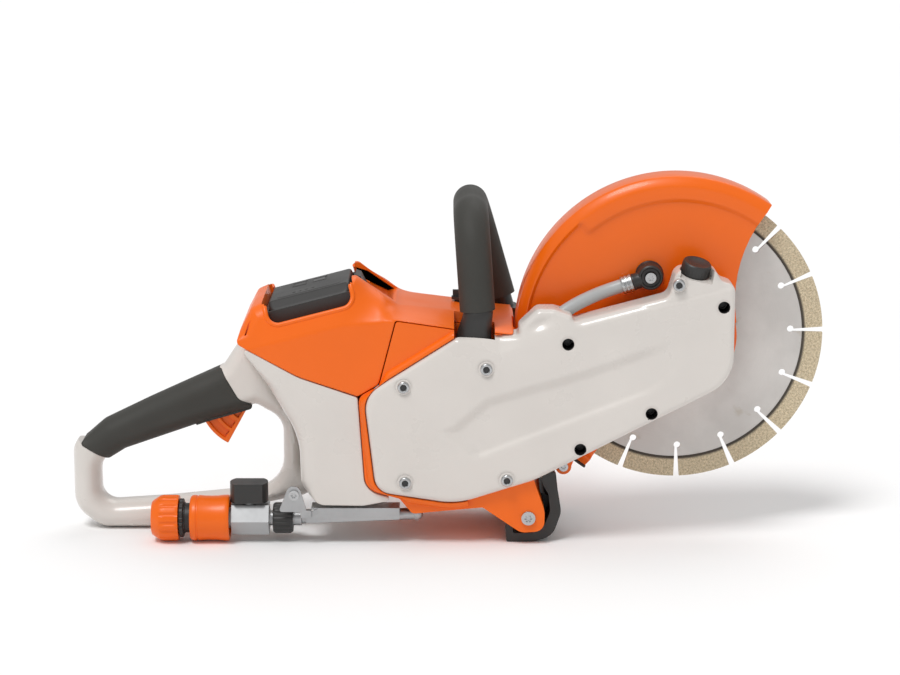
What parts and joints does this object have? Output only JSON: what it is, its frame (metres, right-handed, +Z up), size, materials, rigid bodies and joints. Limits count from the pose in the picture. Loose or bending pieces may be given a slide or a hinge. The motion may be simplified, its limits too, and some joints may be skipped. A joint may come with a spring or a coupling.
{
  "type": "cut-off saw",
  "caption": "Battery-powered rescue cut-off saw with a belt-driven diamond wheel, tilting guard, rear D-handle with trigger, front handle bar and water connection.",
  "frame": {"origin": "on the floor, in the middle of the saw's length and width", "axes": "+X to the cutting wheel, +Y to the operator's left, +Z up"},
  "size_m": [0.587, 0.1548, 0.281],
  "materials": {
    "orange_plastic": "semi-gloss moulded plastic",
    "orange_metal": "powder-coated",
    "light_plastic": "gloss moulded plastic",
    "black_plastic": "fine-textured plastic",
    "grip_rubber": "soft-touch rubber",
    "black_metal": "black paint",
    "steel": "ground steel",
    "light_alloy": "cast and machined",
    "copper_winding": "varnished winding",
    "diamond_segment": "sintered, gritty",
    "belt_rubber": "belt rubber",
    "hose_rubber": "grey hose",
    "board_green": "circuit board",
    "brass_parts": "machined brass"
  },
  "bodies": {
    "saw_body": {"rear_housing_right": "light_plastic", "rear_housing_left": "light_plastic", "handle_grip": "grip_rubber", "trigger_pin": "steel", "trigger_switch": "black_plastic", "top_housing": "orange_plastic", "battery_tray": "black_plastic", "battery_contacts": "brass_parts", "ejector_spring": "steel", "latch_pin": "steel", "drive_housing": "orange_plastic", "motor_cover": "orange_plastic", "arm_cover": "light_plastic", "cover_screws": "steel", "motor_stator": "copper_winding", "motor_bearings": "steel", "drive_belt": "belt_rubber", "bearing_outer_rings": "steel", "guard_clamp_ring": "steel", "water_hose": "hose_rubber", "front_handle_tube": "black_metal", "front_handle_sleeve": "grip_rubber", "handle_foot_right": "black_plastic", "handle_foot_left": "black_plastic", "support_skid": "black_plastic", "bracket_screws": "steel", "water_pipe": "light_alloy", "pipe_bracket": "light_alloy", "return_springs": "steel", "union_nut": "black_plastic", "valve_body": "light_alloy", "connector_body": "black_plastic", "hose_nut": "orange_plastic", "control_board": "board_green"},
    "trigger_body": {"trigger": "orange_plastic"},
    "lockout_body": {"trigger_lockout": "black_plastic"},
    "battery_body": {"battery": "black_plastic"},
    "latch_body": {"battery_latch": "black_plastic"},
    "guard_body": {"wheel_guard": "orange_metal", "guard_stop": "grip_rubber", "spray_nozzles": "brass_parts", "water_elbow": "black_plastic", "elbow_screw": "steel", "hose_ferrule": "steel"},
    "wheel_body": {"spindle": "steel", "bearing_inner_rings": "steel", "bearing_balls": "steel", "driven_pulley": "light_alloy", "inner_flange": "steel", "outer_flange": "steel", "wheel_bolt": "steel", "wheel_core": "steel", "wheel_segments": "diamond_segment"},
    "rotor_body": {"motor_rotor": "steel", "motor_fan": "black_plastic", "drive_pulley": "light_alloy"},
    "lock_button_body": {"spindle_lock_button": "black_plastic"},
    "valve_lever_body": {"valve_lever": "black_plastic"},
    "sleeve_body": {"release_sleeve": "orange_plastic"},
    "knob_body": {"filter_knob": "black_plastic"}
  },
  "joints": [
    {"name": "wheel_spin", "type": "hinge", "parent": "saw_body", "child": "wheel_body", "pos_m": [0.1785, -0.013, 0.156], "axis": [0, 1, 0], "continuous": true},
    {"name": "motor_spin", "type": "hinge", "parent": "saw_body", "child": "rotor_body", "pos_m": [0.01, -0.011, 0.096], "axis": [0, 1, 0], "continuous": true},
    {"name": "guard_tilt", "type": "hinge", "parent": "saw_body", "child": "guard_body", "pos_m": [0.1785, -0.013, 0.156], "axis": [0, 1, 0], "range_deg": [-5, 25], "deforming": ["water_hose"]},
    {"name": "trigger_pull", "type": "hinge", "parent": "saw_body", "child": "trigger_body", "pos_m": [-0.152, -0.011, 0.106], "axis": [0, 1, 0], "range_deg": [0, 12], "stiffness_Nm_per_rad": 0.5, "springref_deg": -11.46},
    {"name": "lockout_press", "type": "slide", "parent": "saw_body", "child": "lockout_body", "axis": [0, -1, 0], "range_m": [0, 0.004], "stiffness_N_per_m": 300, "springref_m": -0.003},
    {"name": "battery_slide", "type": "slide", "parent": "saw_body", "child": "battery_body", "axis": [-0.2504, 0, 0.9681], "range_m": [0, 0.13]},
    {"name": "latch_release", "type": "hinge", "parent": "saw_body", "child": "latch_body", "pos_m": [-0.066, -0.011, 0.19], "axis": [0, 1, 0], "range_deg": [0, 12], "stiffness_Nm_per_rad": 0.3, "springref_deg": -11.46},
    {"name": "spindle_lock_press", "type": "slide", "parent": "saw_body", "child": "lock_button_body", "axis": [-0.2079, 0.2532, -0.9448], "range_m": [0, 0.004], "stiffness_N_per_m": 400, "springref_m": -0.003, "deforming": ["return_springs"]},
    {"name": "valve_turn", "type": "hinge", "parent": "saw_body", "child": "valve_lever_body", "pos_m": [-0.1525, -0.055, 0.04], "axis": [0, 0, 1], "range_deg": [0, 90]},
    {"name": "sleeve_pull", "type": "slide", "parent": "saw_body", "child": "sleeve_body", "axis": [-1, 0, 0], "range_m": [0, 0.004], "stiffness_N_per_m": 600, "springref_m": -0.002},
    {"name": "filter_knob_turn", "type": "hinge", "parent": "saw_body", "child": "knob_body", "pos_m": [0.0095, 0.001, 0.181], "axis": [0, 0, 1], "range_deg": [0, 90]}
  ],
  "couplings": [
    {"joint": "motor_spin", "follows": "wheel_spin", "ratio": 1.8}
  ]
}
